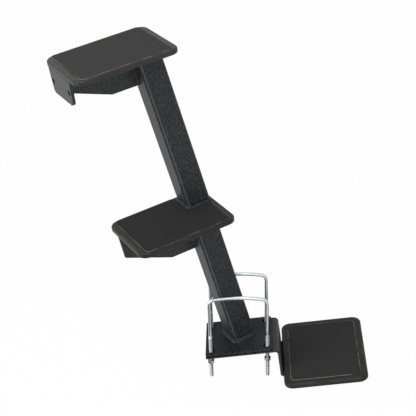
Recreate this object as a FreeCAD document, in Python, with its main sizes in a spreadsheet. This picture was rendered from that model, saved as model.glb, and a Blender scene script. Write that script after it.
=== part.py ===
import FreeCAD, Part
import math
import os
import Sketcher

# Boat trailer step ladder, millimetres, +Z up.
# The origin is on the underside of the clamp stack, at the middle of the U-bolt pattern.
# The lower step lies towards +X. The post and the two upper steps are turned about Z.

Vector = FreeCAD.Vector
Rotation = FreeCAD.Rotation

doc = FreeCAD.newDocument("StepLadder")
sheet = doc.addObject("Spreadsheet::Sheet", "Sizes")

# Driving dimensions
SIZES = [
    # Clamp plate and the strap under it
    ("plate_edge_across", 11),
    ("plate_edge_along", 14),
    ("plate_thickness", 5),
    ("plate_corner", 4),
    ("strap_depth", 116),
    ("strap_thickness", 5),
    ("strap_reach", 9.5),
    ("strap_upper_bend", 5),
    ("strap_lower_bend", 1.5),
    ("strap_toe", 5),
    # U-bolts, nuts and the slots they pass through
    ("bolt_spacing", 118),
    ("bolt_rows", 88),
    ("bolt_body", 7.2),
    ("bolt_thread", 8),
    ("bolt_crown", 131.5),
    ("bolt_bow", 320),
    ("bolt_bend", 12),
    ("bolt_leg", 66.5),
    ("bolt_thread_length", 105),
    ("bolt_tip", 1),
    ("bolt_lean", 6.4),
    ("slot_clearance", 0.5),
    ("slot_outward", 1),
    ("slot_inward", 4),
    ("nut_flats", 13),
    ("nut_height", 6.8),
    ("nut_clearance", 0.15),
    ("nut_drop_left", 27),
    ("nut_drop_right", 22),
    # Leaning square post
    ("post_width", 50),
    ("post_wall", 3),
    ("post_corner", 6),
    ("post_lean", 8.4),
    ("post_across", 2),
    ("post_along", 11),
    ("step_turn", 30),
    # Pressed treads, heights above the clamp plate
    ("tread_width", 204),
    ("tread_depth", 151),
    ("tread_corner", 19),
    ("tread_rim", 10),
    ("tread_roll", 4),
    ("tread_sheet", 3),
    ("middle_height", 350),
    ("middle_back", 10),
    ("middle_right", 1.5),
    ("top_height", 700),
    ("top_right", 19),
    ("lower_drop", 60),
    ("lower_width", 173.5),
    ("lower_depth", 216),
    ("lower_gap", 0.3),
    ("post_gap", 0.9),
    # Grip sheets
    ("grip_thickness", 1),
    ("grip_end_border", 12),
    ("grip_side_border", 3),
    ("lower_grip_border", 14),
    ("grip_corner", 9),
    # Gussets and end plate
    ("gusset_thickness", 6),
    ("gusset_offset", 9),
    ("gusset_run", 56),
    ("middle_gusset_depth", 111),
    ("middle_gusset_end_depth", 70),
    ("gusset_gap", 0.5),
    ("middle_gusset_cut", 6.5),
    ("top_gusset_depth", 81),
    ("top_gusset_end_depth", 48.5),
    ("end_plate_thickness", 6),
    ("end_plate_top", 97),
    ("end_plate_bottom", 86),
    ("end_plate_height", 49),
    ("end_plate_corner", 9),
    ("end_hole", 10.5),
    ("end_hole_spacing", 72),
    ("end_hole_drop", 25),
    # Weld beads
    ("foot_bead", 5),
    ("bead", 3.5),
    ("gusset_bead", 4),
    ("bead_lip", 0.6),
]

for row, (alias, value) in enumerate(SIZES, start=1):
    sheet.set("A%d" % row, alias)
    sheet.set("B%d" % row, str(value))
    sheet.setAlias("B%d" % row, alias)
doc.recompute()

# Two lengths or places closer than this count as the same
CLOSE = 1e-3


# Sketch and feature helpers

def bind(text):
    # Sizes in an expression are written as plain words in braces
    return text.replace("{", "Sizes.").replace("}", "")


def number(text):
    value = sheet.evalExpression(bind(text))
    return float(getattr(value, "Value", value))


def new_body(label):
    body = doc.addObject("PartDesign::Body", label)
    body.Label = label
    body.AllowCompound = True
    return body


def place(body, x, y, z, axis, angle):
    body.Placement = FreeCAD.Placement(Vector(0, 0, 0), Rotation(axis, 1))
    body.setExpression("Placement.Base.x", bind(x))
    body.setExpression("Placement.Base.y", bind(y))
    body.setExpression("Placement.Base.z", bind(z))
    body.setExpression("Placement.Rotation.Angle", bind(angle))


def place_on_post(body):
    # The frame of the post and the upper steps: post foot at its origin, on the clamp plate
    place(body, "{post_across}", "{post_along}", STACK, Vector(0, 0, 1), "{step_turn} * 1deg")


def new_sketch(body, name, role="XY_Plane", lift="0"):
    sketch = body.newObject("Sketcher::SketchObject", name)
    planes = [item for item in body.Origin.OriginFeatures if item.Role == role]
    sketch.AttachmentSupport = [(planes[0], "")]
    sketch.MapMode = "FlatFace"
    sketch.setExpression("AttachmentOffset.Base.z", bind(lift))
    return sketch


def fix(sketch, geometry, point, x, y):
    # Pin one point of a sketch to two bound coordinates
    for kind, text in (("DistanceX", x), ("DistanceY", y)):
        index = sketch.addConstraint(Sketcher.Constraint(kind, -1, 1, geometry, point, number(text)))
        name = "%s_%d_%d" % (kind, geometry, point)
        sketch.renameConstraint(index, name)
        sketch.setExpression("Constraints." + name, bind(text))


def add_polygon(sketch, corners):
    points = [Vector(number(x), number(y), 0) for x, y in corners]
    count = len(points)
    first = sketch.GeometryCount
    for step in range(count):
        sketch.addGeometry(Part.LineSegment(points[step], points[(step + 1) % count]), False)
    for step in range(count):
        following = first + (step + 1) % count
        sketch.addConstraint(Sketcher.Constraint("Coincident", first + step, 2, following, 1))
    for step, (x, y) in enumerate(corners):
        fix(sketch, first + step, 1, x, y)


def add_circle(sketch, x, y, diameter):
    centre = Vector(number(x), number(y), 0)
    circle = sketch.addGeometry(Part.Circle(centre, Vector(0, 0, 1), number(diameter) / 2), False)
    fix(sketch, circle, 3, x, y)
    index = sketch.addConstraint(Sketcher.Constraint("Diameter", circle, number(diameter)))
    name = "Diameter_%d" % circle
    sketch.renameConstraint(index, name)
    sketch.setExpression("Constraints." + name, bind(diameter))


def set_radius(sketch, geometry, radius):
    index = sketch.addConstraint(Sketcher.Constraint("Radius", geometry, number(radius)))
    name = "Radius_%d" % geometry
    sketch.renameConstraint(index, name)
    sketch.setExpression("Constraints." + name, bind(radius))


def rectangle(left, right, front, back):
    return [(left, front), (right, front), (right, back), (left, back)]


def along_lean(feature):
    # Extrude up the post's own axis, with the length still measured along Z
    feature.UseCustomVector = True
    feature.AlongSketchNormal = True
    feature.Direction = Vector(-math.sin(math.radians(number("{post_lean}"))), 0,
                               math.cos(math.radians(number("{post_lean}"))))
    feature.setExpression("Direction.x", bind("-sin({post_lean})"))
    feature.setExpression("Direction.z", bind("cos({post_lean})"))


def pad(body, sketch, name, length, lean=False, midplane=False):
    feature = body.newObject("PartDesign::Pad", name)
    feature.Profile = sketch
    feature.setExpression("Length", bind(length))
    feature.SideType = "Symmetric" if midplane else "One side"
    if lean:
        along_lean(feature)
    doc.recompute()
    return feature


def pocket(body, sketch, name, length, lean=False):
    # Cuts upwards from the sketch, or along the lean
    before = body.Shape.Volume
    feature = body.newObject("PartDesign::Pocket", name)
    feature.Profile = sketch
    feature.setExpression("Length", bind(length))
    feature.Reversed = not lean
    if lean:
        along_lean(feature)
    doc.recompute()
    if not feature.Shape.Volume < before:
        raise ValueError("%s cut nothing" % name)
    return feature


def edges_where(feature, test):
    return ["Edge%d" % place for place, edge in enumerate(feature.Shape.Edges, start=1) if test(edge)]


def faces_where(feature, test):
    return ["Face%d" % place for place, face in enumerate(feature.Shape.Faces, start=1) if test(face)]


def rises(edge):
    # An edge that climbs, upright or along the lean
    box = edge.BoundBox
    return box.ZLength > 2 * max(box.XLength, box.YLength)


def level(item, height):
    box = item.BoundBox
    return abs(box.ZMin - height) < CLOSE and abs(box.ZMax - height) < CLOSE


def fillet(body, base, name, edges, radius):
    feature = body.newObject("PartDesign::Fillet", name)
    feature.Base = (base, edges)
    feature.setExpression("Radius", bind(radius))
    doc.recompute()
    return feature


# Derived positions, as expressions on the sheet
STACK = "{plate_thickness} + {strap_thickness}"
HALF_RUN = "{post_width} / 2 / cos({post_lean})"
PLATE_ACROSS = "({bolt_spacing} / 2 + {plate_edge_across})"
PLATE_ALONG = "({bolt_rows} / 2 + {plate_edge_along})"
FLANGE = "(%s + {strap_reach})" % PLATE_ACROSS
LOWER_TOP = STACK + " - {lower_drop}"
LOWER_LEFT = FLANGE + " + {strap_thickness} + {strap_lower_bend} + {lower_gap}"
LEG_TOP = LOWER_TOP + " - {tread_rim}"


def post_left(height):
    return "(-tan({post_lean}) * (%s) - %s)" % (height, HALF_RUN)


def post_right(height):
    return "(-tan({post_lean}) * (%s) + %s)" % (height, HALF_RUN)


MIDDLE_RIGHT = post_right("{middle_height} - {tread_rim}") + " + {post_gap} + {tread_sheet} + {middle_right}"
MIDDLE_LEFT = MIDDLE_RIGHT + " - {tread_width}"
MIDDLE_BACK = "{post_width} / 2 + {middle_back}"
MIDDLE_FRONT = MIDDLE_BACK + " - {tread_depth}"
TOP_RIGHT = post_right("{top_height}") + " + {top_right}"
TOP_LEFT = TOP_RIGHT + " - {tread_width}"
GUSSET_FRONT = "{gusset_offset} - {gusset_thickness} / 2"
GUSSET_BACK = "{gusset_offset} + {gusset_thickness} / 2"


# Clamp plate with its four slots

def add_slot(sketch, left, right, middle, radius):
    # Two round ends about the given centres, joined by straight sides
    x0, x1, y, r = number(left), number(right), number(middle), number(radius)
    first = sketch.GeometryCount
    quarter = math.pi / 2

    def round_end(x, begin):
        circle = Part.Circle(Vector(x, y, 0), Vector(0, 0, 1), r)
        return Part.ArcOfCircle(circle, begin, begin + math.pi)

    sketch.addGeometry(round_end(x1, -quarter), False)
    sketch.addGeometry(Part.LineSegment(Vector(x1, y + r, 0), Vector(x0, y + r, 0)), False)
    sketch.addGeometry(round_end(x0, quarter), False)
    sketch.addGeometry(Part.LineSegment(Vector(x0, y - r, 0), Vector(x1, y - r, 0)), False)
    for step in range(4):
        following = first + (step + 1) % 4
        sketch.addConstraint(Sketcher.Constraint("Tangent", first + step, 2, following, 1))
    fix(sketch, first, 3, right, middle)
    fix(sketch, first + 2, 3, left, middle)
    set_radius(sketch, first, radius)
    sketch.addConstraint(Sketcher.Constraint("Equal", first, first + 2))


def add_slots(body, name, thickness):
    sketch = new_sketch(body, name)
    radius = "({bolt_thread} / 2 + {slot_clearance})"
    outer = "({bolt_spacing} / 2 + {slot_outward})"
    inner = "({bolt_spacing} / 2 - {slot_inward})"
    for row in ("-", ""):
        middle = row + "{bolt_rows} / 2"
        add_slot(sketch, "-" + outer, "-" + inner, middle, radius)
        add_slot(sketch, inner, outer, middle, radius)
    return pocket(body, sketch, name + "_cut", thickness)


plate = new_body("base_plate")
place(plate, "0", "0", "{strap_thickness}", Vector(0, 0, 1), "0")
outline = new_sketch(plate, "plate_outline")
add_polygon(outline, rectangle("-" + PLATE_ACROSS, PLATE_ACROSS, "-" + PLATE_ALONG, PLATE_ALONG))
blank = pad(plate, outline, "plate_blank", "{plate_thickness}")
fillet(plate, blank, "plate_corners", edges_where(blank, rises), "{plate_corner}")
add_slots(plate, "plate_slots", "{plate_thickness}")


# Strap: flat under the clamp plate, bent down, then bent under the lower tread

def strap_section(sketch):
    # Outer and inner bend arcs joined by straight runs, in the XZ plane
    face = number(FLANGE)
    thick = number("{strap_thickness}")
    upper = number("{strap_upper_bend}")
    lower = number("{strap_lower_bend}")
    shelf = number(LEG_TOP)
    start = -number(PLATE_ACROSS)
    toe = number(LOWER_LEFT + " + {lower_width} - {strap_toe}")

    def line(x0, z0, x1, z1):
        return Part.LineSegment(Vector(x0, z0, 0), Vector(x1, z1, 0))

    def bend(x, z, radius, begin, end):
        circle = Part.Circle(Vector(x, z, 0), Vector(0, 0, 1), radius)
        return Part.ArcOfCircle(circle, math.radians(begin), math.radians(end))

    far = face + thick
    curves = [
        line(start, 0, face - upper, 0),
        bend(face - upper, -upper, upper, 0, 90),
        line(face, -upper, face, shelf + lower),
        bend(far + lower, shelf + lower, lower + thick, 180, 270),
        line(far + lower, shelf - thick, toe, shelf - thick),
        line(toe, shelf - thick, toe, shelf),
        line(toe, shelf, far + lower, shelf),
        bend(far + lower, shelf + lower, lower, 180, 270),
        line(far, shelf + lower, far, -upper),
        bend(face - upper, -upper, upper + thick, 0, 90),
        line(face - upper, thick, start, thick),
        line(start, thick, start, 0),
    ]
    for curve in curves:
        sketch.addGeometry(curve, False)
    add = sketch.addConstraint
    joins = [(0, 2, 1, 2), (1, 1, 2, 1), (2, 2, 3, 1), (3, 2, 4, 1), (4, 2, 5, 1), (5, 2, 6, 1),
             (6, 2, 7, 2), (7, 1, 8, 1), (8, 2, 9, 1), (9, 2, 10, 1), (10, 2, 11, 1), (11, 2, 0, 1)]
    for a, pa, b, pb in joins:
        add(Sketcher.Constraint("Coincident", a, pa, b, pb))
    outer = FLANGE + " + {strap_thickness}"
    tip = LOWER_LEFT + " + {lower_width} - {strap_toe}"
    fix(sketch, 0, 1, "-" + PLATE_ACROSS, "0")
    fix(sketch, 10, 2, "-" + PLATE_ACROSS, "{strap_thickness}")
    fix(sketch, 0, 2, FLANGE + " - {strap_upper_bend}", "0")
    fix(sketch, 2, 1, FLANGE, "-{strap_upper_bend}")
    fix(sketch, 2, 2, FLANGE, LEG_TOP + " + {strap_lower_bend}")
    fix(sketch, 4, 1, outer + " + {strap_lower_bend}", LEG_TOP + " - {strap_thickness}")
    fix(sketch, 5, 1, tip, LEG_TOP + " - {strap_thickness}")
    fix(sketch, 6, 1, tip, LEG_TOP)
    fix(sketch, 6, 2, outer + " + {strap_lower_bend}", LEG_TOP)
    fix(sketch, 8, 1, outer, LEG_TOP + " + {strap_lower_bend}")
    fix(sketch, 8, 2, outer, "-{strap_upper_bend}")
    fix(sketch, 10, 1, FLANGE + " - {strap_upper_bend}", "{strap_thickness}")
    for arc, radius in ((1, "{strap_upper_bend}"), (3, "{strap_lower_bend} + {strap_thickness}"),
                        (7, "{strap_lower_bend}"), (9, "{strap_upper_bend} + {strap_thickness}")):
        set_radius(sketch, arc, radius)


strap = new_body("lower_strap")
section = new_sketch(strap, "strap_section", role="XZ_Plane")
strap_section(section)
pad(strap, section, "strap_blank", "{strap_depth}", midplane=True)
add_slots(strap, "strap_slots", "{strap_thickness}")


# Pressed treads: a sheet with rounded corners and a rolled, turned-down rim

def make_tread(body, left, right, front, back, top):
    base = "(%s) - {tread_rim}" % top
    sketch = new_sketch(body, body.Name + "_outline", lift=base)
    add_polygon(sketch, rectangle(left, right, front, back))
    solid = pad(body, sketch, body.Name + "_blank", "{tread_rim}")
    rounded = fillet(body, solid, body.Name + "_corners", edges_where(solid, rises), "{tread_corner}")
    lower = number(base)
    shell = body.newObject("PartDesign::Thickness", body.Name + "_shell")
    shell.Base = (rounded, faces_where(rounded, lambda face: level(face, lower)))
    shell.setExpression("Value", bind("{tread_sheet}"))
    shell.Reversed = True
    doc.recompute()
    upper = number(top)
    # The rolled edge is one slope that touches the roll at its middle
    slope = body.newObject("PartDesign::Chamfer", body.Name + "_roll")
    slope.Base = (shell, edges_where(shell, lambda edge: level(edge, upper)))
    slope.setExpression("Size", bind("{tread_roll} * (2 - sqrt(2))"))
    doc.recompute()
    return slope


def make_grip(body, corners, top, inner=None):
    # inner is the one corner that turns inwards and stays sharp, if there is one
    sketch = new_sketch(body, body.Name + "_outline", lift=top)
    add_polygon(sketch, corners)
    solid = pad(body, sketch, body.Name + "_blank", "{grip_thickness}")
    sharp = Vector(number(inner[0]), number(inner[1]), 0) if inner else None

    def outward(edge):
        spot = edge.CenterOfMass
        return rises(edge) and not (sharp and Vector(spot.x, spot.y, 0).isEqual(sharp, CLOSE))

    return fillet(body, solid, body.Name + "_corners", edges_where(solid, outward), "{grip_corner}")


def inset(left, right, front, back, end, side):
    return rectangle(left + " + " + end, right + " - " + end, front + " + " + side, back + " - " + side)


lower_tread = new_body("lower_tread")
LOWER_RIGHT = LOWER_LEFT + " + {lower_width}"
make_tread(lower_tread, LOWER_LEFT, LOWER_RIGHT, "-{lower_depth} / 2", "{lower_depth} / 2", LOWER_TOP)

lower_grip = new_body("lower_tread_grip")
make_grip(lower_grip, inset(LOWER_LEFT, LOWER_RIGHT, "-{lower_depth} / 2", "{lower_depth} / 2",
                            "{lower_grip_border}", "{lower_grip_border}"), LOWER_TOP)


def post_outline(height, grow="0"):
    # The post's level section at a height, grown all round
    return rectangle(post_left(height) + " - " + grow, post_right(height) + " + " + grow,
                     "-{post_width} / 2 - " + grow, "{post_width} / 2 + " + grow)


middle_tread = new_body("middle_tread")
place_on_post(middle_tread)
make_tread(middle_tread, MIDDLE_LEFT, MIDDLE_RIGHT, MIDDLE_FRONT, MIDDLE_BACK, "{middle_height}")
SHEET_UNDER = "{middle_height} - {tread_sheet}"
MIDDLE_UNDER = "{middle_height} - {tread_rim}"
hole = new_sketch(middle_tread, "post_hole", lift=MIDDLE_UNDER)
add_polygon(hole, post_outline(MIDDLE_UNDER, "{post_gap} / 2"))
pocket(middle_tread, hole, "post_hole_cut", "{tread_rim}", lean=True)

middle_grip = new_body("middle_tread_grip")
place_on_post(middle_grip)
NOTCH_LEFT = post_left("{middle_height}") + " - {bead} - {post_gap}"
NOTCH_FRONT = "-{post_width} / 2 - {bead} - {post_gap}"
make_grip(middle_grip, [
    (MIDDLE_LEFT + " + {grip_end_border}", MIDDLE_FRONT + " + {grip_side_border}"),
    (MIDDLE_RIGHT + " - {grip_end_border}", MIDDLE_FRONT + " + {grip_side_border}"),
    (MIDDLE_RIGHT + " - {grip_end_border}", NOTCH_FRONT),
    (NOTCH_LEFT, NOTCH_FRONT),
    (NOTCH_LEFT, MIDDLE_BACK + " - {grip_side_border}"),
    (MIDDLE_LEFT + " + {grip_end_border}", MIDDLE_BACK + " - {grip_side_border}"),
], "{middle_height}", inner=(NOTCH_LEFT, NOTCH_FRONT))

top_tread = new_body("top_tread")
place_on_post(top_tread)
make_tread(top_tread, TOP_LEFT, TOP_RIGHT, "-{tread_depth} / 2", "{tread_depth} / 2", "{top_height}")

top_grip = new_body("top_tread_grip")
place_on_post(top_grip)
make_grip(top_grip, inset(TOP_LEFT, TOP_RIGHT, "-{tread_depth} / 2", "{tread_depth} / 2",
                          "{grip_end_border}", "{grip_side_border}"), "{top_height}")


# Leaning post: a square tube with level ends

post = new_body("post_tube")
place_on_post(post)
tube = new_sketch(post, "tube_section")
add_polygon(tube, post_outline("0"))
add_polygon(tube, rectangle("-%s + {post_wall} / cos({post_lean})" % HALF_RUN,
                            "%s - {post_wall} / cos({post_lean})" % HALF_RUN,
                            "-{post_width} / 2 + {post_wall}", "{post_width} / 2 - {post_wall}"))
length = pad(post, tube, "tube_length", "{top_height} - {tread_sheet}", lean=True)


def on_side(offset):
    # Picks the climbing edges at a distance from the post's middle plane
    away = number(offset)
    return lambda edge: rises(edge) and abs(abs(edge.BoundBox.Center.y) - away) < CLOSE


rounded = fillet(post, length, "tube_outer_corners",
                 edges_where(length, on_side("{post_width} / 2")), "{post_corner}")
fillet(post, rounded, "tube_inner_corners",
       edges_where(rounded, on_side("{post_width} / 2 - {post_wall}")), "{post_corner} - {post_wall}")


# Gussets: plates against the post's left face, deep at the post and tapering outwards

def make_gusset(body, corners):
    sketch = new_sketch(body, body.Name + "_outline", role="XZ_Plane", lift="-({gusset_offset})")
    add_polygon(sketch, corners)
    return pad(body, sketch, body.Name + "_plate", "{gusset_thickness}", midplane=True)


middle_gusset = new_body("middle_gusset")
place_on_post(middle_gusset)
MIDDLE_FOOT = "({middle_height} - {middle_gusset_depth})"
MIDDLE_END = "({middle_height} - {middle_gusset_end_depth})"
make_gusset(middle_gusset, [
    (post_left(SHEET_UNDER), SHEET_UNDER),
    (MIDDLE_LEFT + " + {tread_roll} + {gusset_gap}", SHEET_UNDER),
    (MIDDLE_LEFT + " + {tread_roll} + {gusset_gap} + {middle_gusset_cut}", MIDDLE_END),
    (post_left(MIDDLE_FOOT) + " - {gusset_run}", MIDDLE_FOOT),
    (post_left(MIDDLE_FOOT), MIDDLE_FOOT),
])

top_gusset = new_body("top_gusset")
place_on_post(top_gusset)
TOP_UNDER = "({top_height} - {tread_sheet})"
TOP_FOOT = "({top_height} - {top_gusset_depth})"
TOP_END = "({top_height} - {top_gusset_end_depth})"
RIM_UNDER = "({top_height} - {tread_rim})"
PLATE_INNER = TOP_LEFT + " + {end_plate_thickness}"
make_gusset(top_gusset, [
    (post_left(TOP_UNDER), TOP_UNDER),
    (TOP_LEFT + " + {tread_roll} + {gusset_gap}", TOP_UNDER),
    (PLATE_INNER, RIM_UNDER),
    (PLATE_INNER, TOP_END),
    (post_left(TOP_FOOT) + " - {gusset_run}", TOP_FOOT),
    (post_left(TOP_FOOT), TOP_FOOT),
])


# End plate: drilled trapezoid under the far rim of the top tread

end_plate = new_body("top_end_plate")
place_on_post(end_plate)
PLATE_FOOT = "(%s - {end_plate_height})" % RIM_UNDER
face = new_sketch(end_plate, "end_plate_outline", role="YZ_Plane", lift=TOP_LEFT)
add_polygon(face, [
    ("{gusset_offset} - {end_plate_top} / 2", RIM_UNDER),
    ("{gusset_offset} - {end_plate_bottom} / 2", PLATE_FOOT),
    ("{gusset_offset} + {end_plate_bottom} / 2", PLATE_FOOT),
    ("{gusset_offset} + {end_plate_top} / 2", RIM_UNDER),
])
slab = pad(end_plate, face, "end_plate_slab", "{end_plate_thickness}")
foot = number(PLATE_FOOT)
eased = fillet(end_plate, slab, "end_plate_corners",
               edges_where(slab, lambda edge: level(edge, foot) and edge.BoundBox.YLength < CLOSE),
               "{end_plate_corner}")
holes = new_sketch(end_plate, "end_plate_holes", role="YZ_Plane", lift=TOP_LEFT)
for side in ("-", "+"):
    add_circle(holes, "{gusset_offset} %s {end_hole_spacing} / 2" % side,
               RIM_UNDER + " - {end_hole_drop}", "{end_hole}")
pocket(end_plate, holes, "end_plate_drilling", "{end_plate_thickness}")


# Weld beads: sloped collars round the post, and triangular beads beside the gussets

def collar(body, height, legs, leg, upward=True):
    # legs says which sides carry the bead: left, right, front, back
    tip = "(%s) %s %s" % (height, "+" if upward else "-", leg)

    def reach(level_text, size):
        left, right, front, back = [size if used else "0" for used in legs]
        return rectangle(post_left(level_text) + " - " + left, post_right(level_text) + " + " + right,
                         "-{post_width} / 2 - " + front, "{post_width} / 2 + " + back)

    broad = new_sketch(body, body.Name + "_broad", lift=height)
    add_polygon(broad, reach(height, leg))
    narrow = new_sketch(body, body.Name + "_narrow", lift=tip)
    add_polygon(narrow, reach(tip, "{bead_lip}"))
    doc.recompute()
    loft = body.newObject("PartDesign::AdditiveLoft", body.Name + "_slope")
    loft.Profile = broad
    loft.Sections = [narrow]
    loft.Ruled = True
    doc.recompute()
    low = height if upward else tip
    bore = new_sketch(body, body.Name + "_bore", lift=low)
    add_polygon(bore, post_outline(low))
    cut = pocket(body, bore, body.Name + "_cut", leg, lean=True)
    side = number("{post_width} / 2")
    half = number(HALF_RUN)
    centre = number("-tan({post_lean}) * (%s + %s / 2)" % (low, leg))

    def inner_corner(edge):
        spot = edge.BoundBox.Center
        on_left = abs(spot.x - centre + half) < CLOSE and legs[0]
        on_right = abs(spot.x - centre - half) < CLOSE and legs[1]
        return rises(edge) and abs(abs(spot.y) - side) < CLOSE and (on_left or on_right)

    return fillet(body, cut, body.Name + "_corners", edges_where(cut, inner_corner), "{post_corner}")


foot_weld = new_body("post_foot_weld")
place_on_post(foot_weld)
collar(foot_weld, "0", (True, True, True, True), "{foot_bead}")

middle_weld = new_body("middle_post_weld")
place_on_post(middle_weld)
collar(middle_weld, "{middle_height}", (True, False, True, True), "{bead}")

top_weld = new_body("top_post_weld")
place_on_post(top_weld)
collar(top_weld, TOP_UNDER, (False, True, True, True), "{bead}", upward=False)


def gusset_beads(body, wall, outward, low, high, lean):
    # One bead on each face of the gusset, in the corner with the wall it meets
    sketch = new_sketch(body, body.Name + "_sections", lift=low)
    for face_text, sign in ((GUSSET_FRONT, "-"), (GUSSET_BACK, "+")):
        add_polygon(sketch, [
            (wall, face_text),
            (wall + " " + outward + " {gusset_bead}", face_text),
            (wall, face_text + " " + sign + " {gusset_bead}"),
        ])
    return pad(body, sketch, body.Name + "_run", "(%s) - (%s)" % (high, low), lean=lean)


middle_gusset_weld = new_body("middle_gusset_weld")
place_on_post(middle_gusset_weld)
gusset_beads(middle_gusset_weld, post_left(MIDDLE_FOOT), "-", MIDDLE_FOOT, SHEET_UNDER, True)

top_gusset_weld = new_body("top_gusset_weld")
place_on_post(top_gusset_weld)
gusset_beads(top_gusset_weld, post_left(TOP_FOOT), "-", TOP_FOOT, TOP_UNDER, True)

end_weld = new_body("top_end_plate_weld")
place_on_post(end_weld)
gusset_beads(end_weld, PLATE_INNER, "+", TOP_END, RIM_UNDER, False)


# U-bolts: threaded legs, small bends and a slightly bowed bar, leaning in their slots

BOLT_LEVEL = "(%s) / 2" % STACK


def place_on_bolt(body, row):
    place(body, "0", row + "{bolt_rows} / 2", BOLT_LEVEL, Vector(0, 1, 0), "{bolt_lean} * 1deg")


# The bends touch the bar's large circle from inside
BEND_ACROSS = "({bolt_spacing} / 2 - {bolt_bend})"
BEND_ANGLE = "acos(%s / ({bolt_bow} - {bolt_bend}))" % BEND_ACROSS
BOW_HUB = "({bolt_crown} - {bolt_bow})"
BEND_LEVEL = "(%s + ({bolt_bow} - {bolt_bend}) * sin(%s))" % (BOW_HUB, BEND_ANGLE)


def turn_rod(body, name, role, lift, centre, hub, angle, sides):
    # Turns the rod's round section about a line along Y; hub and centre are across that line
    sketch = new_sketch(body, name + "_section", role=role, lift=lift)
    flat = role == "XY_Plane"
    middle = (centre, "0") if flat else ("0", centre)
    add_circle(sketch, middle[0], middle[1], "{bolt_body}")
    reach = "{bolt_body}"
    ends = [(hub, "-" + reach), (hub, reach)] if flat else [("-" + reach, hub), (reach, hub)]
    points = [Vector(number(x), number(y), 0) for x, y in ends]
    axis = sketch.addGeometry(Part.LineSegment(points[0], points[1]), True)
    fix(sketch, axis, 1, ends[0][0], ends[0][1])
    fix(sketch, axis, 2, ends[1][0], ends[1][1])
    doc.recompute()
    feature = body.newObject("PartDesign::Revolution", name)
    feature.Profile = sketch
    feature.ReferenceAxis = (sketch, ["Axis0"])
    feature.Midplane = sides == 0
    feature.Reversed = sides > 0
    feature.setExpression("Angle", bind(angle))
    doc.recompute()
    return feature


def make_u_bolt(label, row):
    body = new_body(label)
    place_on_bolt(body, row)
    legs = new_sketch(body, label + "_legs", lift="-{bolt_leg}")
    add_circle(legs, "{bolt_spacing} / 2", "0", "{bolt_body}")
    add_circle(legs, "-{bolt_spacing} / 2", "0", "{bolt_body}")
    pad(body, legs, label + "_rods", "{bolt_leg} + " + BEND_LEVEL)
    for side, sign in ((1, ""), (-1, "-")):
        turn_rod(body, "%s_bend_%s" % (label, "right" if side > 0 else "left"), "XY_Plane", BEND_LEVEL,
                 sign + "{bolt_spacing} / 2", sign + BEND_ACROSS, BEND_ANGLE, side)
    turn_rod(body, label + "_bar", "YZ_Plane", "0", "{bolt_crown}", BOW_HUB,
             "180deg - 2 * " + BEND_ANGLE, 0)
    ends = new_sketch(body, label + "_thread", lift="-{bolt_leg}")
    add_circle(ends, "{bolt_spacing} / 2", "0", "{bolt_thread}")
    add_circle(ends, "-{bolt_spacing} / 2", "0", "{bolt_thread}")
    threads = pad(body, ends, label + "_threads", "{bolt_thread_length}")
    tip = -number("{bolt_leg}")
    rims = edges_where(threads, lambda edge: level(edge, tip))
    bevel = body.newObject("PartDesign::Chamfer", label + "_tips")
    bevel.Base = (threads, rims)
    bevel.setExpression("Size", bind("{bolt_tip}"))
    doc.recompute()
    return body


front_bolt = make_u_bolt("front_u_bolt", "-")
rear_bolt = make_u_bolt("rear_u_bolt", "")


# Nuts: one hexagon, set four times on the threads

nut = new_body("hex_nut")
hexagon = new_sketch(nut, "nut_hexagon", lift="-{nut_height} / 2")
corner = "{nut_flats} / 2 / cos(30)"
add_polygon(hexagon, [("%s * cos(%d)" % (corner, turn), "%s * sin(%d)" % (corner, turn))
                      for turn in range(30, 390, 60)])
add_circle(hexagon, "0", "0", "{bolt_thread} + 2 * {nut_clearance}")
pad(nut, hexagon, "nut_blank", "{nut_height}")

nuts = doc.addObject("Part::Feature", "u_bolt_nuts")
nuts.Label = "u_bolt_nuts"
copies = []
for bolt in (front_bolt, rear_bolt):
    for side, drop in ((-1, "{nut_drop_left}"), (1, "{nut_drop_right}")):
        seat = FreeCAD.Placement(Vector(side * number("{bolt_spacing}") / 2, 0, -number(drop)), Rotation())
        copy = nut.Shape.copy()
        copy.Placement = bolt.Placement.multiply(seat)
        copies.append(copy)
nuts.Shape = Part.makeCompound(copies)


# Check the document, then write one file for each piece

doc.recompute()
PIECES = [plate, strap, lower_tread, lower_grip, post, foot_weld, middle_tread, middle_grip,
          middle_gusset, middle_weld, middle_gusset_weld, top_tread, top_grip, top_gusset,
          top_gusset_weld, end_plate, end_weld, top_weld, front_bolt, rear_bolt, nuts]

for item in doc.Objects:
    if "Invalid" in item.State or "Error" in item.State:
        raise ValueError("%s failed: %s" % (item.Name, item.State))
os.makedirs("parts", exist_ok=True)
for piece in PIECES:
    if piece.Shape.isNull() or not piece.Shape.isValid() or not piece.Shape.Solids:
        raise ValueError("%s has no valid solid" % piece.Label)
for piece in PIECES:
    box = piece.Shape.BoundBox
    print("%-20s solids %d  volume %9.0f  box %7.1f %7.1f %7.1f to %7.1f %7.1f %7.1f"
          % (piece.Label, len(piece.Shape.Solids), piece.Shape.Volume,
             box.XMin, box.YMin, box.ZMin, box.XMax, box.YMax, box.ZMax))
    piece.Shape.exportStep("parts/%s.step" % piece.Label)
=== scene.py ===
import math

import bmesh
import bpy
import numpy as np
from mathutils import Matrix, Vector


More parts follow.
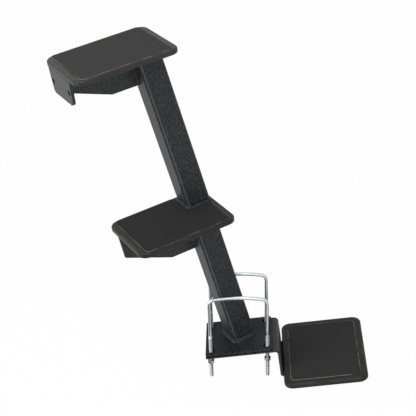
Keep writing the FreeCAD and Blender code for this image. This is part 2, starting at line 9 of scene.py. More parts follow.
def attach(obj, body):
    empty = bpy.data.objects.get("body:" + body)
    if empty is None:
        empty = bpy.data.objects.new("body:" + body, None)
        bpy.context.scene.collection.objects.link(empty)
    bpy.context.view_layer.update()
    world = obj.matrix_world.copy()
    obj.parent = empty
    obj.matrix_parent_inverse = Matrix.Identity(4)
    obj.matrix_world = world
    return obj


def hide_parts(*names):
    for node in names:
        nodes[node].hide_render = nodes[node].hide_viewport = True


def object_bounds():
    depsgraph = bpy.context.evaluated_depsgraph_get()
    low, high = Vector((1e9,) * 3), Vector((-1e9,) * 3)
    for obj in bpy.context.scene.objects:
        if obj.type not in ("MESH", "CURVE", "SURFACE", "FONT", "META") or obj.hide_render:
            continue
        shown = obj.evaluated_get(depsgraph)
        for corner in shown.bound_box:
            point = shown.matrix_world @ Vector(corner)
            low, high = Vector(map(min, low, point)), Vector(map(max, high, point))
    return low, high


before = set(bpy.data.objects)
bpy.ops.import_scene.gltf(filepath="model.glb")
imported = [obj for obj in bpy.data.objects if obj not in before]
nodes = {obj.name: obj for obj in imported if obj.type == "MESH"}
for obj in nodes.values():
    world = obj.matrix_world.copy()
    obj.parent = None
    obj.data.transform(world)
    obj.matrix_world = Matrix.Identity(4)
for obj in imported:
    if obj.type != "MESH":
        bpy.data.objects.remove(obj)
cadLow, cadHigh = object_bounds()
mm = 0.001
print("frame loaded:", len(nodes), "nodes")


# Places shared by the post and the two upper steps

post = {
    "foot": (2 * mm, 11 * mm, 10 * mm),  # middle of the tube on the clamp plate
    "turn": math.radians(30),  # upper steps about Z
    "lean": math.radians(8.4),
    "half": 25 * mm,
    "corner": 6 * mm,
}


def toRow(points):  # step frame to row frame: a turn about Z, then the foot's place
    turn = np.array(Matrix.Rotation(post["turn"], 3, "Z"))
    return points @ turn.T + np.array(post["foot"])


def leanAt(height):  # how far the post has gone left at a height
    return -math.tan(post["lean"]) * height


# Shader maths: a socket that adds Math nodes when it is used in an expression

class Wire:
    def __init__(self, tree, socket=None):
        self.tree = tree
        self.socket = socket

    def make(self, kind, settings=None, values=None, out=0):
        node = self.tree.nodes.new("ShaderNode" + kind)
        for key, value in (settings or {}).items():
            setattr(node, key, value)
        for key, value in (values or {}).items():
            if isinstance(value, Wire):
                self.tree.links.new(value.socket, node.inputs[key])
            else:
                node.inputs[key].default_value = value
        return Wire(self.tree, node.outputs[out] if len(node.outputs) else None)

    def maths(self, operation, first, second=0.0):
        return self.make("Math", {"operation": operation}, {0: first, 1: second})

    def __add__(self, other):
        return self.maths("ADD", self, other)

    def __radd__(self, other):
        return self.maths("ADD", other, self)

    def __sub__(self, other):
        return self.maths("SUBTRACT", self, other)

    def __rsub__(self, other):
        return self.maths("SUBTRACT", other, self)

    def __mul__(self, other):
        return self.maths("MULTIPLY", self, other)

    def __rmul__(self, other):
        return self.maths("MULTIPLY", other, self)

    def larger(self, other):
        return self.maths("MAXIMUM", self, other)

    def smaller(self, other):
        return self.maths("MINIMUM", self, other)

    def size(self):
        return self.maths("ABSOLUTE", self)

    def root(self):
        return self.maths("SQRT", self)

    def between(self, low, high):  # 0 below low, 1 above high, smooth in between
        return self.make("MapRange", {"interpolation_type": "SMOOTHSTEP"},
                         {"Value": self, "From Min": low, "From Max": high})

    def mix(self, first, second):  # this value blends two colours
        return self.make("Mix", {"data_type": "RGBA"}, {0: self, 6: first, 7: second}, out=2)


def newMaterial(name):
    material = bpy.data.materials.new(name)
    material.use_nodes = True
    material.node_tree.nodes.clear()
    return material, Wire(material.node_tree)


def grey(value, warm=0.0):
    return (value * (1 + warm), value, value * (1 - warm), 1)


def objectPlace(wire):
    return wire.make("TexCoord", out="Object")


def finishMaterial(wire, values, shadowMask=None):  # the last argument is 1 where a flat black shader paints the shadow in a seam over the finish
    shader = wire.make("BsdfPrincipled", {}, values)
    if shadowMask:
        # a flat black shader for the painted seam shadow
        dull = wire.make("BsdfDiffuse", {}, {"Color": grey(0.002)})
        shader = wire.make("MixShader", {}, {0: shadowMask, 1: shader, 2: dull})
    wire.make("OutputMaterial", {}, {"Surface": shader})


# Outlines of the treads and grips, for wear that follows their edges

def flatArea(stands, turn, corner):
    # middle and half size of a node's outline, measured along its own sides
    mesh = nodes[stands].data
    points = np.empty(len(mesh.vertices) * 3)
    mesh.vertices.foreach_get("co", points)
    sides = np.array(Matrix.Rotation(turn, 2))
    along = points.reshape(-1, 3)[:, :2] @ sides
    low, high = along.min(axis=0), along.max(axis=0)
    centre = sides @ ((low + high) / 2)
    return {"centre": (centre[0], centre[1], 0), "turn": turn, "half": (high - low) / 2, "corner": corner}


def edgeDistance(wire, area):  # from a rounded rectangle's edge, negative inside
    place = wire.make("Mapping", {"vector_type": "TEXTURE"},
                      {"Vector": objectPlace(wire), "Location": area["centre"],
                       "Rotation": (0, 0, area["turn"])})
    corner = area["corner"]
    pastX = wire.make("SeparateXYZ", {}, {"Vector": place}, out="X").size() - (area["half"][0] - corner)
    pastY = wire.make("SeparateXYZ", {}, {"Vector": place}, out="Y").size() - (area["half"][1] - corner)
    outX = pastX.larger(0.0)
    outY = pastY.larger(0.0)
    return (outX * outX + outY * outY).root() + pastX.larger(pastY).smaller(0.0) - corner


# A painted highlight: a pale line by the tube's left corners, placed by these distances
cornerHighlightLine = {
    "aside": 4 * mm,  # from the tube's corner, on the front or back face
    "fade": (0.8 * mm, 2.2 * mm),
    "depth": (-8 * mm, -5 * mm),  # how near the outer faces it starts
    "middle": (-1 * mm, 1 * mm),
    "share": 0.65,
}


def tubeCornerHighlight(wire):  # a painted highlight line beside the leaning tube's two left corners
    place = wire.make("Mapping", {"vector_type": "TEXTURE"},
                      {"Vector": objectPlace(wire), "Location": post["foot"],
                       "Rotation": (0, 0, post["turn"])})
    x = wire.make("SeparateXYZ", {}, {"Vector": place}, out="X")
    y = wire.make("SeparateXYZ", {}, {"Vector": place}, out="Y")
    z = wire.make("SeparateXYZ", {}, {"Vector": place}, out="Z")
    across = x - z * leanAt(1)
    pastX = across.size() - post["half"] / math.cos(post["lean"])
    pastY = y.size() - post["half"]
    line = 1 - (pastX - pastY + cornerHighlightLine["aside"]).size().between(*cornerHighlightLine["fade"])
    onLeft = 1 - across.between(*cornerHighlightLine["middle"])
    return line * pastX.smaller(pastY).between(*cornerHighlightLine["depth"]) * onLeft * cornerHighlightLine["share"]


# Powder coat: a pebbled black paint, a touch blue, with small pale specks

powder = {
    "dark": (0.0055, 0.0058, 0.0064, 1),
    "light": (0.042, 0.044, 0.047, 1),
    "tread": (0.038, 0.039, 0.035, 1),
    # the next colour is the painted highlight on the treads' rolled edges
    "rubbedAndLit": (0.105, 0.098, 0.084, 1),
    # the next colour is the painted highlight by the tube's corners, and the pale spots on welds
    "corner": (0.080, 0.085, 0.092, 1),
    "grain": 620,  # pebbles per metre
    "specks": 340,  # specks per metre
    "patches": 22.0,  # soft patches per metre
    "speckRange": (0.46, 0.66),
    "pebbleRise": 0.5,
    "speckRise": 1.4,
    "bump": 0.7,
    "relief": 0.5 * mm,
    "dullSpread": 0.4,  # how far the specks vary the roughness
}


def powderCoat(name, shine=0.40, sheen=0.27, relief=1.0, speckle=0.8, tone="light", wear=None,
               under="rubbedAndLit", seamShadow=False):
    # wear: takes the wire and gives 1 where another colour is laid on: thin paint on welds, a painted
    # highlight by the tube's corners and on the treads' rolled edges; under names that colour
    # speckle: share of the fine specks in the colour, the rest is soft patches
    material, wire = newMaterial(name)
    place = objectPlace(wire)
    cells = wire.make("TexVoronoi", {"feature": "SMOOTH_F1"},
                      {"Vector": place, "Scale": powder["grain"], "Smoothness": 0.6})
    grain = wire.make("TexNoise", {}, {"Vector": place, "Scale": powder["specks"], "Detail": 3.0})
    patches = wire.make("TexNoise", {}, {"Vector": place, "Scale": powder["patches"], "Detail": 2.0})
    specks = grain.between(*powder["speckRange"])
    colour = (specks * speckle + patches * (1 - speckle)).mix(powder["dark"], powder[tone])
    if wear:
        colour = wear(wire).mix(colour, powder[under])
    height = cells * powder["pebbleRise"] + grain * powder["speckRise"]
    bump = wire.make("Bump", {}, {"Strength": powder["bump"] * relief, "Distance": powder["relief"],
                                  "Height": height})
    dull = shine + grain * powder["dullSpread"] - powder["dullSpread"] / 2
    # a painted shadow along the seam between clamp plate and strap
    shadowMask = plateSeamShadow(wire) if seamShadow else None
    finishMaterial(wire, {"Base Color": colour, "Roughness": dull, "Normal": bump,
                          "Specular IOR Level": sheen}, shadowMask)
    return material


# Where the painted seam shadow lies
seamShadowBand = {
    "level": 5 * mm,
    "fade": (0.8 * mm, 1.4 * mm),  # above and below that level
    "end": (69 * mm, 70 * mm),  # where the clamp plate stops
    "faces": (56.4 * mm, 57 * mm),
}


def plateSeamShadow(wire):  # painted shadow: 1 in the seam between clamp plate and strap, along the front and back
    place = objectPlace(wire)
    x = wire.make("SeparateXYZ", {}, {"Vector": place}, out="X")
    y = wire.make("SeparateXYZ", {}, {"Vector": place}, out="Y")
    z = wire.make("SeparateXYZ", {}, {"Vector": place}, out="Z")
    onPlate = 1 - x.between(*seamShadowBand["end"])
    outside = y.size().between(*seamShadowBand["faces"])
    return (1 - (z - seamShadowBand["level"]).size().between(*seamShadowBand["fade"])) * onPlate * outside


beadRub = {
    "spots": 150.0,  # per metre
    "range": (0.35, 0.75),
    "share": 0.18,
}


def rippleWear(wire):  # thin paint in scattered noise spots over a bead
    place = objectPlace(wire)
    spots = wire.make("TexNoise", {}, {"Vector": place, "Scale": beadRub["spots"], "Detail": 2.0})
    return spots.between(*beadRub["range"]) * beadRub["share"]


# A painted highlight: a pale line on each tread's rolled edge, broken by noise
rollHighlight = {
    "inner": (-3.4 * mm, -2.8 * mm),  # from the tread's outline
    "outer": (-2.2 * mm, -1.4 * mm),
    "breaks": 34.0,  # per metre
    "range": (0.40, 0.64),
    "share": 0.5,
}


def panCoat(name, area, sheen):  # a tread's coat, with a painted highlight in broken dashes along its rolled edge
    def paintedRollHighlight(wire):
        edge = edgeDistance(wire, area)
        line = edge.between(*rollHighlight["inner"]) * (1 - edge.between(*rollHighlight["outer"]))
        breaks = wire.make("TexNoise", {}, {"Vector": objectPlace(wire), "Scale": rollHighlight["breaks"],
                                            "Detail": 4.0})
        return line * breaks.between(*rollHighlight["range"]) * rollHighlight["share"]

    return powderCoat(name, sheen=sheen, relief=0.45, speckle=0.35, tone="tread", wear=paintedRollHighlight)


# Grip sheets: matte grit with a rubbed, slightly brown edge

gripWear = {
    "rubbedAndLit": (0.21, 0.19, 0.152, 1),
    "width": 1.8 * mm,
    "breaks": 40.0,  # gaps in the line per metre
    "range": (0.34, 0.58),
}
grit = {
    "fine": 1500.0,  # grains per metre
    "coarse": 240.0,
    "range": (0.35, 0.75),
    "fineShare": 0.6,
    "tones": (0.7, 1.35),  # darkest and palest, times the sheet's own tone
    "warm": 0.02,
    "bump": 0.35,
    "relief": 0.3 * mm,
    "dull": 0.82,
    "dullSpread": 0.12,
    "sheen": 0.2,
}


def gripSheet(name, base, area, wear):
    material, wire = newMaterial(name)
    place = objectPlace(wire)
    fine = wire.make("TexNoise", {}, {"Vector": place, "Scale": grit["fine"], "Detail": 2.0})
    coarse = wire.make("TexNoise", {}, {"Vector": place, "Scale": grit["coarse"], "Detail": 3.0})
    breaks = wire.make("TexNoise", {}, {"Vector": place, "Scale": gripWear["breaks"], "Detail": 5.0})
    dark, pale = grit["tones"]
    grains = fine.between(*grit["range"]) * grit["fineShare"] + coarse * (1 - grit["fineShare"])
    plain = grains.mix(grey(base * dark), grey(base * pale, grit["warm"]))
    line = edgeDistance(wire, area).between(-gripWear["width"], -0.3 * gripWear["width"])
    colour = (line * breaks.between(*gripWear["range"]) * wear).mix(plain, gripWear["rubbedAndLit"])
    bump = wire.make("Bump", {}, {"Strength": grit["bump"], "Distance": grit["relief"], "Height": fine})
    dull = grit["dull"] + coarse * grit["dullSpread"]
    finishMaterial(wire, {"Base Color": colour, "Roughness": dull, "Normal": bump,
                          "Specular IOR Level": grit["sheen"]})
    return material


# Zinc plate: pale, slightly cloudy metal, darker on the rolled threads as painted shade

zincTone = {
    "clouds": ((0.48, 0.52, 0.54, 1), (0.57, 0.60, 0.61, 1)),
    "cloudSize": 70.0,  # clouds per metre
    "cloudRange": (0.3, 0.7),
    "streaks": 900.0,
    "bump": 0.1,
    "relief": 0.1 * mm,
    "dull": 0.30,
    "dullSpread": 0.1,
    "threads": (0.33, 0.345, 0.345, 1),
    "threadTop": (41 * mm, 46 * mm),  # where the threads fade out on the legs
}


def zincPlate(name):
    material, wire = newMaterial(name)
    place = objectPlace(wire)
    cloud = wire.make("TexNoise", {}, {"Vector": place, "Scale": zincTone["cloudSize"], "Detail": 3.0})
    streak = wire.make("TexNoise", {}, {"Vector": place, "Scale": zincTone["streaks"], "Detail": 1.0})
    height = wire.make("SeparateXYZ", {}, {"Vector": place}, out="Z")
    plain = cloud.between(*zincTone["cloudRange"]).mix(*zincTone["clouds"])
    # painted shade on the threaded part of the legs, fading out above it
    colour = height.between(*zincTone["threadTop"]).mix(zincTone["threads"], plain)
    bump = wire.make("Bump", {}, {"Strength": zincTone["bump"], "Distance": zincTone["relief"],
                                  "Height": streak})
    dull = zincTone["dull"] + cloud * zincTone["dullSpread"]
    finishMaterial(wire, {"Base Color": colour, "Metallic": 1.0, "Roughness": dull, "Normal": bump})
    return material


# Meshes from arrays

mergeGap = 0.002 * mm


def gridFaces(rows, columns, wrapRows, wrapColumns):  # four neighbours make a face
    row = np.arange(rows if wrapRows else rows - 1)[:, None]
    column = np.arange(columns if wrapColumns else columns - 1)[None, :]
    across = (column + 1) % columns
    down = (row + 1) % rows
    corners = [row * columns + column, row * columns + across, down * columns + across,
               down * columns + column]
    return np.stack(corners, axis=-1).reshape(-1, 4)


def addPiece(name, patches, material, stands, sharp=40):
    # patches: (grid of points, wrap rows, wrap columns), joined into one closed mesh
    points, faces, start = [], [], 0
    for grid, wrapRows, wrapColumns in patches:
        rows, columns = grid.shape[:2]
        points.append(grid.reshape(-1, 3))
        faces.append(gridFaces(rows, columns, wrapRows, wrapColumns) + start)
        start += rows * columns
    mesh = bpy.data.meshes.new(name)
    mesh.from_pydata(np.concatenate(points).tolist(), [], np.concatenate(faces).tolist())
    work = bmesh.new()
    work.from_mesh(mesh)
    bmesh.ops.remove_doubles(work, verts=work.verts, dist=mergeGap)
    bmesh.ops.recalc_face_normals(work, faces=work.faces)
    work.to_mesh(mesh)
    work.free()
    mesh.shade_smooth()
    mesh.set_sharp_from_angle(angle=math.radians(sharp))
    piece = bpy.data.objects.new(name, mesh)
    bpy.context.scene.collection.objects.link(piece)
    mesh.materials.append(material)
    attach(piece, "root")
    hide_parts(stands)
    print("made", name, "with", len(mesh.polygons), "faces")
    return piece


# U-bolts: a rod along leg, bend, bowed bar, bend, leg, with rolled threads on the legs

uBolt = {
    "halfSpacing": 59 * mm,
    "row": 44 * mm,
    "level": 5 * mm,
    "lean": math.radians(6.4),
    "bodyRadius": 3.6 * mm,
    "threadRadius": 4 * mm,
    "threadRoot": 3.3 * mm,
    "pitch": 1.25 * mm,
    "threadLength": 105 * mm,
    "leg": 66.5 * mm,
    "crown": 131.5 * mm,
    "bow": 320 * mm,
    "bend": 12 * mm,
    "tip": 1 * mm,
    "ridgeSlope": 1.6,
    "ridgeCut": 0.3,
    "around": 24,
    "perPitch": 8,
    "legRings": 12,
    "bendRings": 14,
    "bowRings": 22,
}


def boltToRow(points, row):  # lean about Y, then out to the row of slots
    lean = np.array(Matrix.Rotation(uBolt["lean"], 3, "Y"))
    return points @ lean.T + np.array((0, row, uBolt["level"]))


def boltLine():
    # half of the rod's centre line from the tip to the crown: leg, bend, then the bow's arc
    half, bend, bow = uBolt["halfSpacing"], uBolt["bend"], uBolt["bow"]
    hub = uBolt["crown"] - bow
    bendX = half - bend
    bendZ = hub + math.sqrt((bow - bend) ** 2 - bendX ** 2)
    tilt = math.atan2(bendZ - hub, bendX)
    threadTop = uBolt["threadLength"] - uBolt["leg"]
    threadZ = np.arange(-uBolt["leg"], threadTop, uBolt["pitch"] / uBolt["perPitch"])
    plainZ = np.linspace(threadTop, bendZ, uBolt["legRings"])
    legZ = np.concatenate([threadZ, plainZ])
    leg = np.stack([np.full_like(legZ, half), legZ], axis=1)
    legOut = np.tile([1.0, 0.0], (len(legZ), 1))
    turn = np.linspace(0, tilt, uBolt["bendRings"])[1:, None]
    bendOut = np.concatenate([np.cos(turn), np.sin(turn)], axis=1)
    bendLine = np.array([bendX, bendZ]) + bend * bendOut
    sweep = np.linspace(tilt, math.pi / 2, uBolt["bowRings"])[1:, None]
    bowOut = np.concatenate([np.cos(sweep), np.sin(sweep)], axis=1)
    bowLine = np.array([0, hub]) + bow * bowOut
    return np.concatenate([leg, bendLine, bowLine]), np.concatenate([legOut, bendOut, bowOut])


def threadRadius(along, angle):
    # a trapezoid wave along the leg, moved on by one pitch a turn; the body's radius past its end
    phase = along / uBolt["pitch"] - angle / (2 * math.pi)
    wave = np.abs(2 * (phase - np.floor(phase)) - 1)
    ridge = np.clip(uBolt["ridgeSlope"] * wave - uBolt["ridgeCut"], 0, 1)
    cut = uBolt["threadRoot"] + (uBolt["threadRadius"] - uBolt["threadRoot"]) * ridge
    fade = np.clip((uBolt["threadLength"] - along) / uBolt["pitch"], 0, 1)
    chamfer = uBolt["threadRadius"] - uBolt["tip"] + along
    return np.minimum(cut * fade + uBolt["bodyRadius"] * (1 - fade), chamfer)


def makeBolt(name, row, material, stands):
    line, out = boltLine()
    mirror = np.array([-1.0, 1.0])
    line = np.concatenate([line, (line * mirror)[-2::-1]])
    out = np.concatenate([out, (out * mirror)[-2::-1]])
    length = np.linalg.norm(np.diff(line, axis=0), axis=1)
    along = np.concatenate([[0], np.cumsum(length)])
    fromTip = np.minimum(along, along[-1] - along)[:, None]
    angle = np.linspace(0, 2 * math.pi, uBolt["around"], endpoint=False)[None, :]
    radius = threadRadius(fromTip, angle)
    flat = np.stack([line[:, 0], np.zeros(len(line)), line[:, 1]], axis=1)
    outward = np.stack([out[:, 0], np.zeros(len(out)), out[:, 1]], axis=1)
    ring = np.cos(angle)[..., None] * outward[:, None] + np.sin(angle)[..., None] * np.array([0, 1, 0])
    grid = flat[:, None] + radius[..., None] * ring
    first = np.broadcast_to(flat[:1, None], (1, uBolt["around"], 3))
    last = np.broadcast_to(flat[-1:, None], (1, uBolt["around"], 3))
    grid = np.concatenate([first, grid, last])
    return addPiece(name, [(boltToRow(grid, row), False, True)], material, stands, sharp=60)


# Nuts: a hexagon cut by a cone at both faces, with a round bore

nut = {
    "flats": 13 * mm,
    "face": 12.6 * mm,
    "height": 6.8 * mm,
    "chamfer": 1 * mm,
    "bore": 4.15 * mm,
    "drops": (27 * mm, 22 * mm),  # below the bolt's level on its left and right legs
    "around": 72,
    "chamferRings": 6,
}


def nutGrid():
    # radius by angle and height: the smaller of hexagon and cone, closed through the bore
    angle = np.linspace(0, 2 * math.pi, nut["around"], endpoint=False)
    sixth = math.pi / 3
    hexagon = nut["flats"] / 2 / np.cos((angle + sixth / 2) % sixth - sixth / 2)
    corner = nut["flats"] / 2 / math.cos(sixth / 2)
    drop = np.linspace(0, nut["chamfer"], nut["chamferRings"])[:, None]
    cone = nut["face"] / 2 + drop * (corner - nut["face"] / 2) / nut["chamfer"]
    side = np.minimum(hexagon[None, :], cone)
    bore = np.full((1, nut["around"]), nut["bore"])
    radius = np.concatenate([bore, side, side[::-1], bore])
    fall = drop[:, 0]
    height = np.concatenate([[0], fall, nut["height"] - fall[::-1], [nut["height"]]]) - nut["height"] / 2
    x = radius * np.cos(angle)
    y = radius * np.sin(angle)
    return np.stack([x, y, np.broadcast_to(height[:, None], x.shape)], axis=-1)


def makeNuts(material):
    grid = nutGrid()
    patches = []
    for row in (-uBolt["row"], uBolt["row"]):
        for side, drop in zip((-1, 1), nut["drops"]):
            place = np.array([side * uBolt["halfSpacing"], 0, -drop])
            patches.append((boltToRow(grid + place, row), True, True))
    return addPiece("nutSet", patches, material, "u_bolt_nuts", sharp=25)


# Weld beads: a rounded fillet carried along a corner, with the ripples of a hand weld

weld = {
    "ripple": 2.6 * mm,
    "lag": 0.35,  # how far a ripple curves back at the bead's middle
    "wobble": ((0.3, 4.7 * mm, 0), (0.2, 1.9 * mm, 1)),  # size, length and shift of each wave
    "swell": 0.12,  # share of the leg
    "bulge": 0.4,  # 0 is a flat slope, 1 a quarter round
    "step": 0.45 * mm,
    "taper": 3 * mm,
    "across": 9,
    "cornerPoints": 12,
    "bareSide": 0.3 * mm,
}


def beadGrid(corner, first, second, leg, closed):
    # corner: the line where two faces meet; first and second point out along those faces
    gaps = np.linalg.norm(np.diff(corner, axis=0), axis=1)
    along = np.concatenate([[0], np.cumsum(gaps)])[:, None]
    turn = np.linspace(0, math.pi / 2, weld["across"])[None, :]
    phase = along / weld["ripple"] + weld["lag"] * np.sin(2 * turn)
    wobble = sum(size * np.sin(along / length + shift) for size, length, shift in weld["wobble"])
    part = phase + wobble - np.floor(phase + wobble)
    scallop = 1 - (2 * part - 1) ** 2
    slope = 1 / (np.cos(turn) + np.sin(turn))
    reach = leg * (slope * (1 - weld["bulge"]) + weld["bulge"])
    reach = reach * (1 - weld["swell"] * (1 - scallop) * np.sin(2 * turn) ** 0.5)
    if not closed:
        near = np.clip(np.minimum(along, along[-1] - along) / weld["taper"], 0, 1)
        reach = reach * np.sqrt(1 - (1 - near) ** 2)
    slant = np.cos(turn)[..., None] * first[:, None] + np.sin(turn)[..., None] * second[:, None]
    skin = corner[:, None] + reach[..., None] * slant
    return np.concatenate([skin, corner[:, None]], axis=1)


def postLoop(start):
    # the post's rounded outline, from the middle of its right (+1) or left (-1) side and back
    halfX = post["half"] / math.cos(post["lean"])
    halfY = post["half"]
    corner = post["corner"]
    turn = np.linspace(0, math.pi / 2, weld["cornerPoints"])
    corners = []
    for place, (sx, sy) in enumerate(((1, 1), (-1, 1), (-1, -1), (1, -1))):
        angle = turn + place * math.pi / 2
        centre = np.array([sx * (halfX - corner), sy * (halfY - corner)])
        corners.append(centre + corner * np.stack([np.cos(angle), np.sin(angle)], axis=1))
    side = np.array([[halfX, 0.0]])
    loop = np.concatenate([side] + corners + [side]) * start
    gaps = np.linalg.norm(np.diff(loop, axis=0), axis=1)
    along = np.concatenate([[0], np.cumsum(gaps)])
    count = int(along[-1] / weld["step"])
    even = np.linspace(0, along[-1], count)
    line = np.stack([np.interp(even, along, loop[:, 0]), np.interp(even, along, loop[:, 1])], axis=1)
    ahead = np.gradient(line, axis=0)
    ahead /= np.linalg.norm(ahead, axis=1)[:, None]
    return line, np.stack([ahead[:, 1], -ahead[:, 0]], axis=1)


def collarBead(height, leg, upward, skip):
    # a bead round the post; skip is the bare side: 1 right, -1 left, 0 none
    start = skip if skip else 1
    line, out = postLoop(start)
    limit = post["half"] / math.cos(post["lean"]) - weld["bareSide"]
    keep = line[:, 0] * start < limit if skip else np.ones(len(line), bool)
    line, out = line[keep], out[keep]
    corner = np.column_stack([line[:, 0] + leanAt(height), line[:, 1], np.full(len(line), height)])
    outward = np.column_stack([out, np.zeros(len(out))])
    rise = np.array([leanAt(1), 0, 1]) * (1 if upward else -1)
    climb = np.tile(rise, (len(line), 1))
    return toRow(beadGrid(corner, outward, climb, leg, not skip)), False, True


def straightBead(foot, head, first, second, leg):
    count = int(np.linalg.norm(head - foot) / weld["step"])
    share = np.linspace(0, 1, count)[:, None]
    corner = foot + (head - foot) * share
    grid = beadGrid(corner, np.tile(first, (count, 1)), np.tile(second, (count, 1)), leg, False)
    return toRow(grid), False, True


steps = {
    "middle": 350 * mm,  # tread tops above the clamp plate
    "top": 700 * mm,
    "sheet": 3 * mm,
    "rim": 10 * mm,
    "topLeft": -263.1 * mm,
    "gussetFaces": (6 * mm, 12 * mm),  # front and back faces along the step's Y
    "middleFoot": 239 * mm,
    "topFoot": 619 * mm,
    "topEnd": 651.5 * mm,
    "endPlate": 6 * mm,
    "footBead": 5 * mm,
    "treadBead": 3.5 * mm,
    "gussetBead": 4 * mm,
}


def postLeft(height):
    return leanAt(height) - post["half"] / math.cos(post["lean"])


def gussetBeads(low, high, wallAt, first):
    front, back = steps["gussetFaces"]
    patches = []
    for face, side in ((front, -1.0), (back, 1.0)):
        foot = np.array([wallAt(low), face, low])
        head = np.array([wallAt(high), face, high])
        patches.append(straightBead(foot, head, np.array([first, 0, 0]), np.array([0, side, 0]),
                                    steps["gussetBead"]))
    return patches


def makeWelds(material):
    underTop = steps["top"] - steps["sheet"]
    underMiddle = steps["middle"] - steps["sheet"]
    plateInner = steps["topLeft"] + steps["endPlate"]
    beads = {
        "footBead": ("post_foot_weld", [collarBead(0, steps["footBead"], True, 0)]),
        "middleBead": ("middle_post_weld", [collarBead(steps["middle"], steps["treadBead"], True, 1)]),
        "topBead": ("top_post_weld", [collarBead(underTop, steps["treadBead"], False, -1)]),
        "middleGussetBead": ("middle_gusset_weld",
                             gussetBeads(steps["middleFoot"], underMiddle, postLeft, -1.0)),
        "topGussetBead": ("top_gusset_weld", gussetBeads(steps["topFoot"], underTop, postLeft, -1.0)),
        "endPlateBead": ("top_end_plate_weld",
                         gussetBeads(steps["topEnd"], steps["top"] - steps["rim"],
                                     lambda height: plateInner, 1.0)),
    }
    for name, (stands, patches) in beads.items():
        addPiece(name, patches, material, stands, sharp=50)


# Plates with softened edges: a merged copy of the solid, bevelled along its sharp edges

softEdge = {
    "merge": 0.005 * mm,
    "flat": math.radians(0.5),  # faces closer than this become one
    "shaded": math.radians(30),
    "bevelled": math.radians(40),
    "segments": 3,
}


def softenEdges(name, stands, width, material):
    source = nodes[stands]
    mesh = bpy.data.meshes.new(name)
    work = bmesh.new()
    work.from_mesh(source.data)
    bmesh.ops.remove_doubles(work, verts=work.verts, dist=softEdge["merge"])
    bmesh.ops.dissolve_limit(work, angle_limit=softEdge["flat"], verts=work.verts, edges=work.edges)
    work.to_mesh(mesh)
    work.free()
    mesh.shade_smooth()
    mesh.set_sharp_from_angle(angle=softEdge["shaded"])
    piece = bpy.data.objects.new(name, mesh)
    bpy.context.scene.collection.objects.link(piece)
    mesh.materials.clear()
    mesh.materials.append(material)
    bevel = piece.modifiers.new("edge", "BEVEL")
    bevel.width = width
    bevel.segments = softEdge["segments"]
    bevel.limit_method = "ANGLE"
    bevel.angle_limit = softEdge["bevelled"]
    bevel.harden_normals = True
    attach(piece, "root")
    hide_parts(stands)
    print("softened", stands)
    return piece


# Finishes on every node, then the pieces made here

coat = powderCoat("blackPowderCoat")
# the tube's coat carries the painted highlight line by its left corners
tubeCoat = powderCoat("tubeCoat", shine=0.48, sheen=0.24, wear=tubeCornerHighlight, under="corner")
# the clamp plate and strap coats carry the painted seam shadow
plateCoat = powderCoat("plateCoat", shine=0.46, sheen=0.08, relief=0.7, speckle=0.5, seamShadow=True)
strapCoat = powderCoat("strapCoat", shine=0.42, sheen=0.24, relief=0.7, speckle=0.5, seamShadow=True)
weldCoat = powderCoat("paintedWeld", shine=0.38, sheen=0.14, relief=0.4, wear=rippleWear, under="corner")
zinc = zincPlate("zincPlate")
for name, node in nodes.items():
    node.data.materials.clear()
    node.data.materials.append(tubeCoat if name == "post_tube" else coat)

# The grips' tones carry painted light and shade: the top grip is paler, the middle grip under the top step
# darker
treads = {
    "lower": {"turn": 0.0, "grip": 0.025, "wear": 0.85, "sheen": 0.12},
    "middle": {"turn": post["turn"], "grip": 0.017, "wear": 0.5, "sheen": 0.13},
    "top": {"turn": post["turn"], "grip": 0.034, "wear": 0.7, "sheen": 0.23},
}
treadCorner = 19 * mm
gripCorner = 9 * mm

makeBolt("frontBolt", -uBolt["row"], zinc, "front_u_bolt")
makeBolt("rearBolt", uBolt["row"], zinc, "rear_u_bolt")
makeNuts(zinc)
makeWelds(weldCoat)
plateEdge = 1.1 * mm
gussetEdge = 0.6 * mm
for name, stands, width, finish in (
    ("clampPlate", "base_plate", plateEdge, plateCoat),
    ("bentStrap", "lower_strap", plateEdge, strapCoat),
    ("middleBracket", "middle_gusset", gussetEdge, coat),
    ("topBracket", "top_gusset", gussetEdge, coat),
    ("endPlate", "top_end_plate", gussetEdge, coat),
):
    softenEdges(name, stands, width, finish)

rolledEdge = 1.2 * mm
sheetEdge = 0.4 * mm
for name, tread in treads.items():
    pan, sheet = name + "_tread", name + "_tread_grip"
    panFinish = panCoat(name + "PanCoat", flatArea(pan, tread["turn"], treadCorner), tread["sheen"])
    sheetFinish = gripSheet(name + "Grip", tread["grip"], flatArea(sheet, tread["turn"], gripCorner),
                            tread["wear"])
    softenEdges(name + "Pan", pan, rolledEdge, panFinish)
    softenEdges(name + "Sheet", sheet, sheetEdge, sheetFinish)
print("pieces finished")


# Stage: a pale floor under the bolt tips, white to the camera, with a soft shadow

stage = {
    "level": cadLow.z - 1 * mm,
    "reach": 12.0,
    "shadow": 0.02,  # share of the floor that answers to light
    "colour": grey(0.8),
    "card": 0.04,
    "cardEdge": (-0.10, -0.02),
}


def seenDirectly(wire):  # camera, mirror and glass rays
    camera = wire.make("LightPath", out="Is Camera Ray")
    glossy = wire.make("LightPath", out="Is Glossy Ray")
    through = wire.make("LightPath", out="Is Transmission Ray")
    return camera.larger(glossy).larger(through)


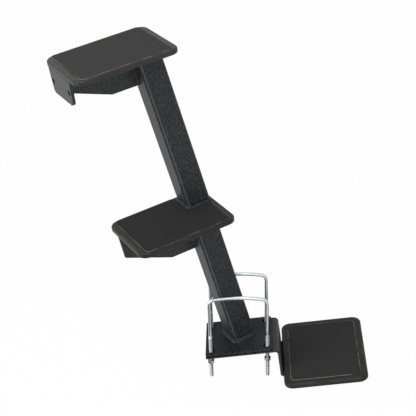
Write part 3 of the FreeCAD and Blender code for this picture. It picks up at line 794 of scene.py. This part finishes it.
def makeFloor():
    reach, level = stage["reach"], stage["level"]
    corners = [(-reach, -reach, level), (reach, -reach, level), (reach, reach, level), (-reach, reach, level)]
    mesh = bpy.data.meshes.new("floor")
    mesh.from_pydata(corners, [], [(0, 1, 2, 3)])
    floor = bpy.data.objects.new("floor", mesh)
    bpy.context.scene.collection.objects.link(floor)
    material, wire = newMaterial("paleFloor")
    # in reflections the floor is dark on the left of the camera, where a studio's black card lies
    place = objectPlace(wire)
    left = wire.make("SeparateXYZ", {}, {"Vector": place}, out="X").between(*stage["cardEdge"])
    near = wire.make("SeparateXYZ", {}, {"Vector": place}, out="Y").between(*stage["cardEdge"])
    mirrored = wire.make("LightPath", out="Is Glossy Ray")
    card = mirrored * (1 - left) * (1 - near)
    glow = wire.make("Emission", {}, {"Color": card.mix(grey(1.0), grey(stage["card"])), "Strength": 1.0})
    matte = wire.make("BsdfDiffuse", {}, {"Color": stage["colour"]})
    share = seenDirectly(wire) * (1 - stage["shadow"])
    lit = wire.make("MixShader", {}, {0: share, 1: matte, 2: glow})
    clear = wire.make("BsdfTransparent")
    under = wire.make("NewGeometry", out="Backfacing")
    both = wire.make("MixShader", {}, {0: under, 1: lit, 2: clear})
    wire.make("OutputMaterial", {}, {"Surface": both})
    mesh.materials.append(material)


# Sky: a white sweep low down, a dim ceiling above it
sky = {
    "sweepTop": math.sin(math.radians(24)),
    "ceilingFrom": math.sin(math.radians(36)),
    "ceiling": 0.2,
}


def makeWorld():
    world = bpy.data.worlds.new("studio")
    world.use_nodes = True
    world.node_tree.nodes.clear()
    wire = Wire(world.node_tree)
    direction = wire.make("TexCoord", out="Generated")
    height = wire.make("SeparateXYZ", {}, {"Vector": direction}, out="Z")
    dim = height.between(sky["sweepTop"], sky["ceilingFrom"]) * (1 - sky["ceiling"])
    seen = seenDirectly(wire)
    air = wire.make("Background", {}, {"Color": grey(1.0), "Strength": (1 - dim).larger(seen)})
    wire.make("OutputWorld", {}, {"Surface": air})
    bpy.context.scene.world = world


lamps = {
    "top": {"place": (-0.2, -1.2, 2.5), "size": 1.2, "power": 26.0},
    "key": {"place": (-1.6, -0.9, 2.4), "size": 1.6, "power": 12.0},
    "fill": {"place": (1.0, -2.6, 0.9), "size": 1.8, "power": 14.0},
    "side": {"place": (-2.2, -1.4, 0.6), "size": 1.4, "power": 50.0},
}


def makeLamps():
    middle = (cadLow + cadHigh) / 2
    for name, lamp in lamps.items():
        light = bpy.data.lights.new(name, "AREA")
        light.size = lamp["size"]
        light.energy = lamp["power"]
        holder = bpy.data.objects.new(name, light)
        holder.location = lamp["place"]
        holder.rotation_euler = (middle - holder.location).to_track_quat("-Z", "Y").to_euler()
        bpy.context.scene.collection.objects.link(holder)


# Camera: fitted to the straight edges and the outline in the photo

camera = {
    "place": (0.19337, -2.04801, 1.52588),
    "forward": (-0.08946, 0.85982, -0.50271),
    "right": (0.98956, 0.01946, -0.14281),
    "lens": 104.0,
    "sensor": 36.0,
}


def makeCamera():
    forward = Vector(camera["forward"]).normalized()
    right = Vector(camera["right"]).normalized()
    up = right.cross(forward).normalized()
    right = forward.cross(up)
    data = bpy.data.cameras.new("photoCamera")
    data.lens = camera["lens"]
    data.sensor_width = camera["sensor"]
    holder = bpy.data.objects.new("photoCamera", data)
    turn = Matrix((right, up, -forward)).transposed().to_4x4()
    holder.matrix_world = Matrix.Translation(camera["place"]) @ turn
    bpy.context.scene.collection.objects.link(holder)
    bpy.context.scene.camera = holder


makeFloor()
makeWorld()
makeLamps()
makeCamera()
bpy.context.scene.view_settings.view_transform = "Standard"
print("stage set")
